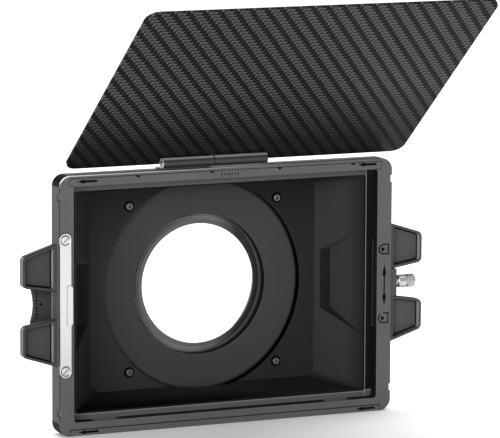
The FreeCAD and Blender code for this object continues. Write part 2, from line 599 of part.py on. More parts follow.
def ring_carrier():
    plate = rounded_plate(-61.0, 61.0, -REAR_HALF_H - SHADE_WALL, REAR_HALF_H + SHADE_WALL, 4.0,
                          SHADE_BACK, PLATE_BACK)
    wall = rod_y(0, 0, SHADE_BACK, CARRIER_BACK, CARRIER_R)
    bosses = holes_y(RING_SCREWS, SHADE_BACK, CARRIER_BACK, RING_EAR_R)
    tools = [rod_y(0, 0, SHADE_BACK - 1, CARRIER_BACK + 1, RECESS_R),
             rod_y(0, 0, DISC_FLANGE_FRONT - 0.1, CARRIER_BACK + 1, FLANGE_BORE_R)]
    tools += holes_y(RING_SCREWS, SHADE_BACK - 1, CARRIER_BACK + 1, RING_SHANK_R)
    tools += holes_y(RING_SCREWS, SHADE_BACK - 1, RING_HEAD_FACE + RING_HEAD_H, RING_HEAD_R + 0.5)
    tools += holes_y(CARRIER_SCREWS, SHADE_BACK - 1, PLATE_BACK + 1, CARRIER_SHANK_R)
    save("ring_carrier", cut_all(union([plate, wall] + bosses), tools))
    save("ring_screws", [socket_screw(x, z, RING_HEAD_FACE, RING_HEAD_R, RING_HEAD_H, RING_SHANK_R,
                                      RETAINER_BACK - 0.3)
                         for x, z in RING_SCREWS])
    save("carrier_screws", [rear_screw(x, z, PLATE_BACK, 1.9, 1.3, CARRIER_SHANK_R, 25.5)
                            for x, z in CARRIER_SCREWS])

    ring = rod_y(0, 0, CARRIER_BACK, RETAINER_BACK, CARRIER_R)
    ears = holes_y(RING_SCREWS, CARRIER_BACK, RETAINER_BACK, RING_EAR_R)
    tools = [rod_y(0, 0, CARRIER_BACK - 1, RETAINER_BACK + 1, RETAINER_BORE_R)]
    tools += holes_y(RING_SCREWS, CARRIER_BACK - 1, RETAINER_BACK + 1, RING_SHANK_R)
    save("rear_retainer", cut_all(union([ring] + ears), tools))
    felt = rod_y(0, 0, CARRIER_BACK - FELT_T, CARRIER_BACK, FELT_R)
    save("friction_ring", felt.cut(rod_y(0, 0, CARRIER_BACK - 1, CARRIER_BACK + 1, FELT_BORE_R)))


def adapter():
    chamfer = 0.5
    disc = spun([
        (DISC_BORE_R + chamfer, DISC_FACE), (DISC_R - chamfer, DISC_FACE),
        (DISC_R, DISC_FACE + chamfer), (DISC_R, DISC_FLANGE_FRONT),
        (DISC_FLANGE_R, DISC_FLANGE_FRONT), (DISC_FLANGE_R, DISC_FLANGE_BACK),
        (HUB_R, DISC_FLANGE_BACK), (HUB_R, HUB_BACK), (DISC_BORE_R, HUB_BACK),
        (DISC_BORE_R, DISC_FACE + chamfer)])
    angles = [radians(a) for a in (90, 210, 330)]
    set_depth = 39.1
    screws = []
    tools = []
    for a in angles:
        out = V(cos(a), 0, sin(a))
        seat = out * DISC_BORE_R + V(0, y_at(set_depth), 0)
        screws.append(Part.makeCylinder(1.0, HUB_R - DISC_BORE_R - 0.3, seat + out * 0.1, out))
        tools.append(Part.makeCylinder(1.0, 8, seat - out * 2, out))
    save("adapter_disc", cut_all(disc, tools))
    save("adapter_set_screws", screws)
    save("lens_adapter", lens_adapter())


def lens_adapter():
    """Ring with a ribbed conical nose, a spigot in the disc's bore, a rear flange and the thread."""
    spigot_r = DISC_BORE_R - 0.05
    lip = 0.5
    shoulder = FRONT_TO_SHOULDER
    ribs, rib_depth = 5, 0.28
    profile = [(NOSE_R + 0.2, NOSE_FRONT + lip), (NOSE_R, NOSE_FRONT + 0.2), (NOSE_R + 0.2, NOSE_FRONT),
               (NOSE_R + lip, NOSE_FRONT)]
    run_r, run_d = spigot_r - NOSE_R - lip, NOSE_BASE - NOSE_FRONT
    for k in range(ribs):
        for share, sink in ((0.25, 0.0), (0.5, rib_depth), (1.0, 0.0)):
            step = (k + share) / ribs
            profile.append((NOSE_R + lip + step * run_r - sink, NOSE_FRONT + step * run_d + sink))
    profile += [(spigot_r, HUB_BACK), (ADAPTER_FLANGE_R, HUB_BACK), (ADAPTER_FLANGE_R, shoulder),
                (LENS_THREAD_R, shoulder), (LENS_THREAD_R, shoulder + LENS_THREAD_L),
                (ADAPTER_BACK_BORE_R, shoulder + LENS_THREAD_L)]
    return spun(profile)


def main():
    os.makedirs("parts", exist_ok=True)
    front_frame()
    rails()
    retainer_plate()
    keepers()
    clamp()
    hinge()
    flag()
    shade_housing()
    release_tab()
    ring_carrier()
    adapter()
    for name, shape in SHAPES.items():
        print(name, len(shape.Solids), round(shape.Volume))


main()
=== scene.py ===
"""Looks of the clip-on matte box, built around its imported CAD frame. Metres throughout.

Places on the object are written in millimetres as (x, depth, z), where depth is measured
backwards from the face of the front frame, and at() turns them into points in the row frame.
"""
import json
import math

import bmesh
import bpy
from mathutils import Matrix, Vector


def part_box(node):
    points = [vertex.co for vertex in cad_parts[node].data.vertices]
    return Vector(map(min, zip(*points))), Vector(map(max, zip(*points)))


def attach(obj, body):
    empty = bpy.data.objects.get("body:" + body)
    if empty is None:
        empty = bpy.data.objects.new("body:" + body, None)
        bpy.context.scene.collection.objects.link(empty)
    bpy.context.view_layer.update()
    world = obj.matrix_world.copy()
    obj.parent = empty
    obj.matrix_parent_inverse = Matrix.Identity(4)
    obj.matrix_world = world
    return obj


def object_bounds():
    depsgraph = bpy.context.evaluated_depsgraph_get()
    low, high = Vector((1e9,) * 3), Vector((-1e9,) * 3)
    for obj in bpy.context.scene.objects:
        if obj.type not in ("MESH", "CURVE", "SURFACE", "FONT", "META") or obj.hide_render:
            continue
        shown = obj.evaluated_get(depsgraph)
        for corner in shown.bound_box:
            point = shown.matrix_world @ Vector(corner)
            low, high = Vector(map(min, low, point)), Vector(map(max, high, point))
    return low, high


MM = 0.001

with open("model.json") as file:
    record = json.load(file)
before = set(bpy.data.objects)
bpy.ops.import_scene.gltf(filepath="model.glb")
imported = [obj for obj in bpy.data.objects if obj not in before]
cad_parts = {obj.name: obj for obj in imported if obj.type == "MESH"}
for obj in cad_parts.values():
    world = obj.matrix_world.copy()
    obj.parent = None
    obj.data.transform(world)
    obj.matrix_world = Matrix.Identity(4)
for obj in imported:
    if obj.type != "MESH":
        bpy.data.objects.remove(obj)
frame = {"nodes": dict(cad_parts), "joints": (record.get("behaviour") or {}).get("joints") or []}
nodes = frame["nodes"]
cad_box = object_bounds()
cad_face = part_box("top_rail")[0][1]
joints = {joint["name"]: joint for joint in frame["joints"]}


def at(x, depth, z):
    return Vector((x * MM, cad_face + depth * MM, z * MM))


# ---- node-graph helpers --------------------------------------------------------------

class Graph:
    """Short names for building a material's node tree."""

    def __init__(self, name):
        self.material = bpy.data.materials.new(name)
        self.material.use_nodes = True
        self.tree = self.material.node_tree
        self.tree.nodes.clear()
        self.shader = self.node("ShaderNodeBsdfPrincipled")
        output = self.node("ShaderNodeOutputMaterial")
        self.link(self.shader.outputs[0], output.inputs[0])

    def node(self, kind, **settings):
        made = self.tree.nodes.new(kind)
        for key, value in settings.items():
            setattr(made, key, value)
        return made

    def link(self, source, target):
        self.tree.links.new(source, target)

    def put(self, socket, value):
        """Set a socket from a number, a colour or another node's output."""
        if isinstance(value, bpy.types.NodeSocket):
            self.link(value, socket)
        else:
            socket.default_value = value

    def set(self, **values):
        """Set the shader's own sockets: base_color=..., roughness=..."""
        for key, value in values.items():
            self.put(self.shader.inputs[key.replace("_", " ").title().replace("Ior", "IOR")], value)

    def math(self, operation, *values):
        made = self.node("ShaderNodeMath", operation=operation)
        for socket, value in zip(made.inputs, values):
            self.put(socket, value)
        return made.outputs[0]

    def over(self, value, limit):
        return self.math("GREATER_THAN", value, limit)

    def under(self, value, limit):
        return self.math("LESS_THAN", value, limit)

    def between(self, value, low, high):
        return self.math("MULTIPLY", self.over(value, low), self.under(value, high))

    def absolute(self, value):
        return self.math("ABSOLUTE", value)

    def length(self, a, b):
        return self.math("SQRT", self.math("ADD", self.math("MULTIPLY", a, a),
                                           self.math("MULTIPLY", b, b)))

    def all_of(self, *masks):
        made = masks[0]
        for mask in masks[1:]:
            made = self.math("MULTIPLY", made, mask)
        return made

    def any_of(self, first, second):
        return self.math("MAXIMUM", first, second)

    def place(self, scale=(1, 1, 1)):
        """Object coordinates, stretched by a scale along each axis."""
        coords = self.node("ShaderNodeTexCoord")
        mapping = self.node("ShaderNodeMapping")
        mapping.inputs["Scale"].default_value = scale
        self.link(coords.outputs["Object"], mapping.inputs["Vector"])
        return mapping.outputs["Vector"]

    def split(self, vector):
        made = self.node("ShaderNodeSeparateXYZ")
        self.link(vector, made.inputs[0])
        return made.outputs

    def join(self, x, y, z):
        made = self.node("ShaderNodeCombineXYZ")
        for socket, value in zip(made.inputs, (x, y, z)):
            self.put(socket, value)
        return made.outputs[0]

    def along(self, origin, direction):
        """Millimetres from a point along a direction, in object coordinates."""
        moved = self.node("ShaderNodeVectorMath", operation="SUBTRACT")
        self.link(self.place(), moved.inputs[0])
        moved.inputs[1].default_value = origin
        dot = self.node("ShaderNodeVectorMath", operation="DOT_PRODUCT")
        self.link(moved.outputs[0], dot.inputs[0])
        dot.inputs[1].default_value = Vector(direction) / MM
        return dot.outputs["Value"]

    def noise(self, vector, scale, detail=3.0, roughness=0.5):
        made = self.node("ShaderNodeTexNoise")
        self.link(vector, made.inputs["Vector"])
        made.inputs["Scale"].default_value = scale
        made.inputs["Detail"].default_value = detail
        made.inputs["Roughness"].default_value = roughness
        return made.outputs["Fac"]

    def span(self, value, low, high, to_low=0.0, to_high=1.0):
        made = self.node("ShaderNodeMapRange")
        for socket, number in zip(made.inputs, (value, low, high, to_low, to_high)):
            self.put(socket, number)
        return made.outputs[0]

    def blend(self, factor, first, second):
        made = self.node("ShaderNodeMix", data_type="RGBA")
        self.put(made.inputs[0], factor)
        self.put(made.inputs[6], first)
        self.put(made.inputs[7], second)
        return made.outputs[2]

    def bevel(self, radius):
        made = self.node("ShaderNodeBevel", samples=8)
        made.inputs["Radius"].default_value = radius
        return made.outputs[0]

    def edge(self, radius):
        """1 on the mesh's edges, 0 on its flats."""
        normal = self.node("ShaderNodeNewGeometry").outputs["True Normal"]
        dot = self.node("ShaderNodeVectorMath", operation="DOT_PRODUCT")
        self.link(normal, dot.inputs[0])
        self.link(self.bevel(radius), dot.inputs[1])
        return self.span(dot.outputs["Value"], 0.985, 0.8)

    def bump(self, height, distance, radius=0.0):
        """Bump normal; radius also rounds the sharp edges of the mesh in shading."""
        made = self.node("ShaderNodeBump")
        made.inputs["Strength"].default_value = 1.0
        made.inputs["Distance"].default_value = distance
        self.put(made.inputs["Height"], height)
        if radius:
            self.link(self.bevel(radius), made.inputs["Normal"])
        self.link(made.outputs[0], self.shader.inputs["Normal"])


def grey(value):
    return (value, value, value, 1.0)


VOID_SHADE = grey(0.0005)      # painted shade at its blackest: gaps, crevices and the wings' rounded edges
DEEP_SHADE = grey(0.001)  # painted shade: grooves, seams, notches and the frame's corners
WEAR_AND_SHEEN = grey(0.5)        # bare metal on handled edges, and painted highlights


class Spot:
    """The shaded point: its place in millimetres and the way its surface faces."""

    def __init__(self, g):
        self.x, y, self.z = g.split(g.place((1 / MM, 1 / MM, 1 / MM)))
        self.depth = g.math("SUBTRACT", y, cad_face / MM)
        self.span_x, self.span_z = g.absolute(self.x), g.absolute(self.z)
        self.from_axis = g.length(self.x, self.z)
        self.nx, self.ny, self.nz = g.split(g.node("ShaderNodeNewGeometry").outputs["True Normal"])
        self.squareness = g.any_of(g.absolute(self.nx),
                                   g.any_of(g.absolute(self.ny), g.absolute(self.nz)))
        self.facing = g.under(self.ny, -0.9)


# ---- materials -----------------------------------------------------------------------

def moulded(name, tone, edge_gain=1.6, rough=0.5, shine=0.15, paint=None, edge_paint=None):
    """Black glass-filled nylon: fine spark-eroded grain, faint mottling, and a painted highlight that
    makes the edges a little paler.

    paint(graph, colour) may return the colour with other tones over some stretches, and
    edge_paint(graph, colour) the colour of the painted edge highlight.
    """
    edge_width, edge_share, grain_height, corner_r = 0.00026, 0.7, 0.000009, 0.00025
    g = Graph(name)
    place = g.place()
    fine = g.noise(place, 4200, 2.0, 0.6)
    cloud = g.noise(place, 48, 4.0, 0.55)
    speck = g.noise(place, 1900, 1.0, 0.5)
    base = g.blend(g.span(cloud, 0.3, 0.7), grey(tone * 0.93), grey(tone * 1.07))
    base = g.blend(g.span(speck, 0.62, 0.75, 0.0, 0.35), base, grey(tone * 1.5))
    if paint:
        base = paint(g, base)
    # painted highlight: the edges paler than the flats
    edge_highlight = grey(min(1.0, tone * edge_gain))
    if edge_paint:
        edge_highlight = edge_paint(g, edge_highlight)
    base = g.blend(g.math("MULTIPLY", g.edge(edge_width), edge_share), base, edge_highlight)
    g.set(base_color=base,
          roughness=g.span(fine, 0.3, 0.7, rough - 0.06, rough + 0.08),
          specular_ior_level=shine)
    g.bump(fine, grain_height, corner_r)
    return g.material


# landmarks of the CAD frame that the paints go by, in millimetres
WING_SIDE = 79.32           # the wings lie beyond this on both sides
RECESS_SIDE = 72.6
RECESS_LOW, RECESS_HIGH = -54.15, 51.25
LEDGE_SIDE = 69.3
RAIL_END = 74.7
DISC_BORE_R, DISC_R = 31.6, 46.7
SCREW_X, SCREW_Z, SCREW_MIDDLE = 35.4, 36.8, 0.3


def bevel_paint(g, spot, base):
    """The front bevel: a painted highlight along the top, weaker to the right, and painted shade along
    the left.
    """
    bevel_depth, top, left = 0.7, 51.8, -78.0
    bevel = g.all_of(g.span(spot.squareness, 0.97, 0.85), g.under(spot.ny, -0.2),
                     g.under(spot.depth, bevel_depth))
    along_top = g.all_of(bevel, g.over(spot.nz, 0.3), g.over(spot.z, top),
                         g.between(spot.depth, 0.02, 0.5))
    # painted highlight on the top bevel, fading to the right
    painted_highlight = g.blend(g.span(spot.x, -70.0, 30.0), grey(0.80), grey(0.16))
    base = g.blend(along_top, base, painted_highlight)
    # painted shade on the left bevel
    along_left = g.all_of(bevel, g.under(spot.x, left), g.under(spot.span_z, 50.7))
    return g.blend(along_left, base, grey(0.02))


def wing_paint(g, spot, base):
    """Wings: smooth and darker than the frame, the right-hand pair paler as painted light, painted
    highlights on faces turned left, and black painted shade on edges and in grooves.
    """
    rim_front, floor, groove_back = 1.7, 4.15, 5.1
    tip, root_wall, wing_top = -94.0, -81.6, 26.5
    middle_x, middle_z = 86.0, 15.5
    wing = g.over(spot.span_x, WING_SIDE)
    # the wings' own darker tone; the right-hand pair paler as painted light
    wing_tone = g.blend(g.over(spot.x, 0.0), grey(0.045), grey(0.067))
    base = g.blend(g.math("MULTIPLY", wing, 0.85), base, wing_tone)
    # painted shade: the wings' rounded edges black
    rounded = g.all_of(wing, g.span(spot.squareness, 0.99, 0.93), g.between(spot.depth, 1.2, 2.2))
    base = g.blend(rounded, base, VOID_SHADE)
    leftward = g.under(spot.nx, -0.7)
    # painted highlight on the left-facing wing tips
    base = g.blend(g.all_of(g.under(spot.x, tip), leftward), base, grey(0.13))
    wall = g.all_of(wing, leftward, g.between(spot.depth, rim_front, floor + 0.05),
                    g.under(spot.span_z, wing_top), g.over(spot.x, root_wall))
    # painted highlight on the pocket walls that face left
    base = g.blend(wall, base, grey(0.28))
    outward = g.math("MULTIPLY", spot.nx, g.math("SIGN", spot.x))
    upward = g.math("MULTIPLY", spot.nz, g.math("SIGN", spot.z))
    from_middle = g.math("ADD", g.math("MULTIPLY", outward, g.math("SUBTRACT", spot.span_x, middle_x)),
                         g.math("MULTIPLY", upward, g.math("SUBTRACT", spot.span_z, middle_z)))
    inward = g.under(from_middle, 0.0)
    # painted shade in the grooves round the pocket floors
    groove = g.all_of(wing, g.between(spot.depth, floor, groove_back), g.any_of(inward, spot.facing))
    return g.blend(groove, base, DEEP_SHADE)


def side_paint(g, spot, base):
    """Corners and side notches in black painted shade, the left side face darker as painted shade, and
    a painted highlight behind the release tab.
    """
    corner_x, corner_z, bevel_back = 74.2, 51.2, 0.5
    notch_inner, notch_outer, notch_low, notch_high, notch_back = 77.4, 79.35, 28.0, 50.0, 3.7
    tab_front, tab_half = 8.2, 10.5
    # painted shade on the rounded corners
    corner = g.all_of(g.over(spot.span_x, corner_x), g.over(spot.span_z, corner_z),
                      g.over(spot.depth, bevel_back))
    base = g.blend(corner, base, DEEP_SHADE)
    # painted shade on the notches' level faces
    level = g.over(g.absolute(spot.nz), 0.7)
    notch = g.all_of(level, g.between(spot.span_x, notch_inner, notch_outer),
                     g.between(spot.span_z, notch_low, notch_high), g.under(spot.depth, notch_back))
    base = g.blend(notch, base, DEEP_SHADE)
    # painted shade on the left side face
    side = g.all_of(g.under(spot.nx, -0.9), g.between(spot.x, -79.2, -78.0))
    base = g.blend(g.math("MULTIPLY", side, 0.3), base, grey(0.02))
    # painted highlight on the side face behind the release tab
    behind_tab = g.all_of(side, g.over(spot.depth, tab_front), g.under(spot.span_z, tab_half))
    return g.blend(behind_tab, base, WEAR_AND_SHEEN)


def seam_paint(g, spot, base):
    """The gaps around the two rails, in black painted shade, and a painted-shade strip of face along
    the lower one.
    """
    above, below = g.between(spot.z, 50.9, 54.9), g.between(spot.z, -56.98, -54.2)
    seam_front, seam_back = 0.1, 1.5
    seam = g.all_of(g.between(spot.depth, seam_front, seam_back), g.under(spot.span_x, RAIL_END),
                    g.any_of(above, below))
    # painted shade on a strip of the face along the lower rail's seam
    strip = g.all_of(spot.facing, g.between(spot.z, -54.6, -54.1), g.under(spot.span_x, 74.0))
    return g.blend(g.any_of(seam, strip), base, DEEP_SHADE)


def recess_paint(g, spot, base):
    """Filter recess: black walls, matte black deepened by painted shade, a paler ledge at top and
    bottom with painted shade at the top and its top right end, and a painted highlight along the
    ledge's inner edge.
    """
    face_back, ledge_z, ledge_back = 0.35, 48.0, 6.0
    within = g.all_of(g.under(spot.span_x, RECESS_SIDE), g.between(spot.z, RECESS_LOW, RECESS_HIGH),
                      g.over(spot.depth, face_back))
    # black walls: matte black, deepened as painted shade
    base = g.blend(within, base, grey(0.008))
    ledge = g.all_of(within, spot.facing, g.over(spot.span_z, ledge_z), g.under(spot.depth, ledge_back))
    upper = g.blend(g.over(spot.x, LEDGE_SIDE), grey(0.085), grey(0.012))
    # painted shade: the top ledge darker than the bottom, near black at its right end
    base = g.blend(ledge, base, g.blend(g.under(spot.z, 0.0), upper, grey(0.10)))
    lip = g.any_of(g.between(spot.x, 68.9, 69.45), g.between(spot.z, -49.1, -48.6))
    # painted highlight along the ledge's inner edge
    return g.blend(g.all_of(within, spot.facing, lip), base, grey(0.20))


def frame_paint(g, base):
    """All the tones of the front frame and what is set into it, from its bevel inwards."""
    spot = Spot(g)
    for paint in (bevel_paint, wing_paint, side_paint, seam_paint, recess_paint):
        base = paint(g, spot, base)
    return base


def frame_edges(g, edge_highlight):
    """Painted edge highlight: kept dark on the wings and the recess's sides, as painted shade, and pale
    on all other edges.
    """
    spot = Spot(g)
    wing = g.over(spot.span_x, WING_SIDE)
    recess = g.all_of(g.between(spot.span_x, 70.0, RECESS_SIDE), g.under(spot.span_z, 48.0),
                      g.over(spot.depth, 1.0))
    return g.blend(g.any_of(wing, recess), edge_highlight, grey(0.008))


def hood_paint(g, base):
    """Painted light and shade in the hood: its floor blacker than its back plate, its right side paler
    than its left, and black round the disc and the screw heads.
    """
    plate_front, flare_half, disc_front, head_r, well_r = 26.0, 25.0, 28.3, 1.95, 2.4
    spot = Spot(g)
    # painted light and shade on the back plate: darker to the right, towards the top and on faces in
    # front of it
    plate = g.blend(g.span(spot.x, -55.0, 30.0), grey(0.034), grey(0.023))
    plate = g.blend(g.span(spot.z, 10.0, 42.0, 0.0, 0.6), plate, grey(0.012))
    plate = g.blend(g.under(spot.depth, plate_front), plate, grey(0.015))
    base = g.blend(spot.facing, base, plate)
    # painted shade on the floor, darkest towards the front and at the left
    floor = g.blend(g.span(spot.depth, 25.0, 9.0), grey(0.016), grey(0.002))
    floor = g.blend(g.span(spot.x, 0.0, 45.0), floor, grey(0.016))
    base = g.blend(g.span(spot.nz, 0.5, 0.85), base, floor)
    # painted light on the side walls: the right one paler towards the back
    right_wall = g.blend(g.span(spot.depth, 15.0, 8.0), grey(0.034), grey(0.017))
    base = g.blend(g.span(spot.nx, -0.5, -0.8), base, right_wall)
    base = g.blend(g.span(spot.nx, 0.5, 0.8), base, grey(0.026))
    # painted light and shade on the faces of the wall pockets
    flare = g.all_of(g.under(spot.span_z, flare_half), g.under(spot.depth, 25.0),
                     g.over(g.absolute(spot.nz), 0.3))
    base = g.blend(flare, base, g.blend(g.under(spot.nz, 0.0), grey(0.018), grey(0.045)))
    # black painted shade round the disc
    around_disc = g.all_of(g.between(spot.from_axis, DISC_R + 0.3, DISC_R + 0.9),
                           g.over(spot.depth, disc_front))
    base = g.blend(around_disc, base, VOID_SHADE)
    # black painted shade round the screw heads
    beside = g.math("SUBTRACT", spot.span_x, SCREW_X)
    above = g.math("SUBTRACT", g.absolute(g.math("SUBTRACT", spot.z, SCREW_MIDDLE)), SCREW_Z)
    around_head = g.between(g.length(beside, above), head_r, well_r)
    return g.blend(around_head, base, VOID_SHADE)


def disc_paint(g, base):
    """Adapter disc: black painted shade at its rim, its top in painted shade, its bore paler towards
    the back as painted light.
    """
    spot = Spot(g)
    walls = g.over(spot.ny, -0.5)
    # black painted shade on the rim's walls
    rim = g.all_of(g.between(spot.from_axis, DISC_R - 0.3, DISC_R + 0.2), walls)
    base = g.blend(rim, base, VOID_SHADE)
    # painted shade over the top
    base = g.blend(g.span(spot.z, 40.0, DISC_R, 0.0, 0.55), base, grey(0.010))
    # painted light and shade in the bore: black at the front, paler towards the back
    bore = g.all_of(g.under(spot.from_axis, DISC_BORE_R), walls)
    return g.blend(bore, base, g.blend(g.span(spot.depth, 34.0, 36.5), grey(0.010), grey(0.17)))


def nose_paint(g, base):
    """Lens adapter: the root of its conical nose paler than the lip as painted light, its right side
    darker as painted shade.
    """
    nose_back = 38.0
    spot = Spot(g)
    front = g.under(spot.depth, nose_back)
    # painted light on the root of the nose
    root = g.all_of(front, g.span(spot.from_axis, 28.3, 29.6), 0.8)
    base = g.blend(root, base, grey(0.34))
    # painted shade on the right side
    right = g.all_of(front, g.span(spot.x, 8.0, 20.0), 0.85)
    return g.blend(right, base, grey(0.030))


def turned(name, tone, rough, paint):
    """A face turned on a lathe: fine rings about the optical axis, and a painted highlight on its
    edges.
    """
    grooves, edge_width, groove_height, corner_r = 900.0, 0.0002, 0.00001, 0.0002
    g = Graph(name)
    place = g.place()
    x, y, z = g.split(place)
    rings = g.noise(g.join(g.length(x, z), y, 0.0), grooves, 3.0, 0.6)
    cloud = g.noise(place, 40, 3.0)
    base = g.blend(rings, grey(tone * 0.85), grey(tone * 1.15))
    base = g.blend(g.math("MULTIPLY", cloud, 0.25), base, grey(tone * 1.2))
    # painted highlight on the edges
    base = g.blend(g.math("MULTIPLY", g.edge(edge_width), 0.5), base, grey(min(1.0, tone * 2.2)))
    base = paint(g, base)
    g.set(base_color=base, roughness=g.span(rings, 0.3, 0.7, rough - 0.07, rough + 0.07),
          specular_ior_level=0.08)
    g.bump(rings, groove_height, corner_r)
    return g.material


def barrel_paint(g, base):
    """Hinge barrel: painted highlights along its top and on its left end, painted shade underneath."""
    left, right, low, high = -32.2, 17.6, 56.9, 61.6
    spot = Spot(g)
    barrel = g.all_of(g.between(spot.x, left, right), g.between(spot.z, low, high),
                      g.under(spot.ny, 0.9))
    # painted highlight along the top
    tone = g.blend(g.span(spot.nz, 0.6, 0.85), grey(0.040), grey(0.62))
    # painted shade underneath
    tone = g.blend(g.span(spot.nz, 0.0, -0.4), tone, grey(0.004))
    base = g.blend(barrel, base, tone)
    # painted highlight on the left end
    left_end = g.all_of(barrel, g.under(spot.nx, -0.5), g.under(spot.x, left + 2.2))
    return g.blend(left_end, base, grey(0.40))


def metal(name, tone, rough, axis_scale=(1, 1, 1), streaks=700.0, wear_and_sheen=0.0, dark_edges=0.0, paint=None,
          metallic=1.0):
    """Plated or anodised metal with a faint drawn grain along one axis.

    One setting pales its edges, as wear and as a painted highlight, another darkens them, and paint is
    as for moulded().
    """
    dark_edge_width, wear_and_sheen_width, grain_height, corner_r = 0.00024, 0.00015, 0.000004, 0.0002
    g = Graph(name)
    place = g.place(axis_scale)
    streak = g.noise(place, streaks, 4.0, 0.6)
    cloud = g.noise(g.place(), 60, 3.0)
    base = g.blend(g.span(streak, 0.3, 0.7), grey(tone * 0.9), grey(min(1.0, tone * 1.08)))
    base = g.blend(g.span(cloud, 0.45, 0.75, 0.0, 0.15), base, grey(tone * 0.85))
    # darker edges
    if dark_edges:
        base = g.blend(g.math("MULTIPLY", g.edge(dark_edge_width), dark_edges), base, grey(tone * 0.12))
    # pale edges: wear, and a painted highlight
    if wear_and_sheen:
        base = g.blend(g.math("MULTIPLY", g.edge(wear_and_sheen_width), wear_and_sheen), base, WEAR_AND_SHEEN)
    if paint:
        base = paint(g, base)
    g.set(base_color=base, metallic=metallic,
          roughness=g.span(streak, 0.3, 0.7, rough - 0.06, rough + 0.08))
    g.bump(streak, grain_height, corner_r)
    return g.material


def brass():
    """Turned brass, with painted shade where it shows in the split between the hinge's knuckles."""
    g = Graph("brass")
    rings = g.noise(g.place((1, 0.02, 0.02)), 2500, 2.0)
    spot = Spot(g)
    # painted shade in the split between the knuckles
    split = g.all_of(g.between(spot.x, -8.6, -7.0), g.over(spot.z, 55.0))
    colour = g.blend(rings, (0.60, 0.42, 0.16, 1.0), (0.78, 0.58, 0.26, 1.0))
    g.set(base_color=g.blend(split, colour, grey(0.004)),
          metallic=1.0, roughness=g.span(rings, 0.3, 0.7, 0.22, 0.38))
    g.bump(rings, 0.000006, 0.0002)
    return g.material


def felt():
    g = Graph("felt")
    place = g.place()
    fibre = g.noise(place, 2600, 5.0, 0.75)
    g.set(base_color=g.blend(fibre, grey(0.006), grey(0.05)), roughness=0.95, sheen_weight=0.4)
    g.bump(fibre, 0.00015)
    return g.material


def carbon():
    """2/2 twill: each pale tow floats over two dark ones, with a painted highlight along its upper edge
    and ends, painted shade in the gaps and towards the hinge.

    across counts the dark tows, which run along the flag; down counts the pale ones.
    """
    g = Graph("carbon_twill")
    across_pitch, down_pitch, repeat = 1.74, 2.24, 4.0
    x_axis, s_axis, _ = flag_axes()
    from_hinge = g.along(flag_hinge, s_axis)
    across = g.math("DIVIDE", g.along(flag_hinge, x_axis), across_pitch)
    down = g.math("DIVIDE", from_hinge, -down_pitch)
    drift = g.noise(g.join(g.math("MULTIPLY", across, 0.2), g.math("MULTIPLY", down, 0.3), 0.0), 1.0)
    across = g.math("ADD", across, g.span(drift, 0.3, 0.7, -0.1, 0.1))
    row, fall = g.math("FLOOR", down), g.math("FRACT", down)
    lead = 1.0
    run = g.math("FLOORED_MODULO", g.math("ADD", g.math("SUBTRACT", across, row), lead), repeat)
    run = g.math("SUBTRACT", run, lead)

    def near(value, centre, reach):
        return g.span(g.absolute(g.math("SUBTRACT", value, centre)), reach, 0.3 * reach)

    on_top = g.span(g.absolute(g.math("SUBTRACT", run, 0.45)), 1.28, 0.92)
    left_end = near(run, -0.3, 0.42)
    right_end = g.all_of(near(run, 1.15, 0.4), near(fall, 0.45, 0.4))
    # painted highlight along each pale tow's upper edge and ends
    tow_highlight = g.any_of(g.any_of(left_end, right_end), near(fall, 0.24, 0.32))
    fibres = g.noise(g.join(g.math("MULTIPLY", across, 0.5), g.math("MULTIPLY", down, 9.0), 0.0),
                     1.0, 2.0, 0.6)
    pale = g.blend(tow_highlight, grey(0.012), grey(0.078))
    pale = g.blend(g.span(fibres, 0.3, 0.8, 0.0, 0.5), pale, grey(0.03))
    # black painted shade in the gaps between tows
    gap = g.any_of(near(run, -0.85, 0.4), near(run, 1.8, 0.5))
    dark = g.blend(g.all_of(gap, near(fall, 0.75, 0.5)), grey(0.008), VOID_SHADE)
    # painted shade towards the hinge
    shaded = g.span(from_hinge, 8.0, 52.0, 0.78, 0.0)
    g.set(base_color=g.blend(shaded, g.blend(on_top, dark, pale), grey(0.003)),
          roughness=g.span(on_top, 0.0, 1.0, 0.6, 0.45), specular_ior_level=0.05)
    g.bump(g.all_of(on_top, near(fall, 0.5, 0.6)), 0.00003)
    return g.material


def ink():
    """Recessed marks, filled near-black."""
    g = Graph("ink")
    speckle = g.noise(g.place(), 3000, 2.0)
    g.set(base_color=g.blend(speckle, grey(0.002), grey(0.005)), roughness=0.7, specular_ior_level=0.03)
    g.bump(speckle, 0.00001)
    return g.material


# ---- pieces ----------------------------------------------------------------------------

def flag_axes():
    """Across the flag, along it away from the hinge, and out of its underside, at rest."""
    rise_deg = 38.7
    rise = math.radians(rise_deg)
    across = Vector((1, 0, 0))
    along = Vector((0, -math.cos(rise), math.sin(rise)))
    return across, along, across.cross(along)


def add_piece(name, verts, faces, body, material):
    mesh = bpy.data.meshes.new(name)
    mesh.from_pydata(verts, [], faces)
    mesh.validate()
    made = bpy.data.objects.new(name, mesh)
    bpy.context.scene.collection.objects.link(made)
    mesh.materials.append(material)
    tidy = bmesh.new()
    tidy.from_mesh(mesh)
    bmesh.ops.recalc_face_normals(tidy, faces=tidy.faces)
    tidy.to_mesh(mesh)
    tidy.free()
    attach(made, body)
    return made


def inlay(name, outlines, depth, body, slot, material, proud=0.03, sunk=0.05):
    """Thin filled marks from (x, z) outlines, standing just proud of the surface at depth."""
    verts, faces = [], []
    for outline in outlines:
        first, count = len(verts), len(outline)
        verts += [at(x, depth - proud, z) for x, z in outline]
        verts += [at(x, depth + sunk, z) for x, z in outline]
        faces.append(list(range(first, first + count)))
        faces.append(list(range(first + 2 * count - 1, first + count - 1, -1)))
        for i in range(count):
            j = (i + 1) % count
            faces.append([first + i, first + j, first + count + j, first + count + i])
    return add_piece(name, verts, faces, body, material)


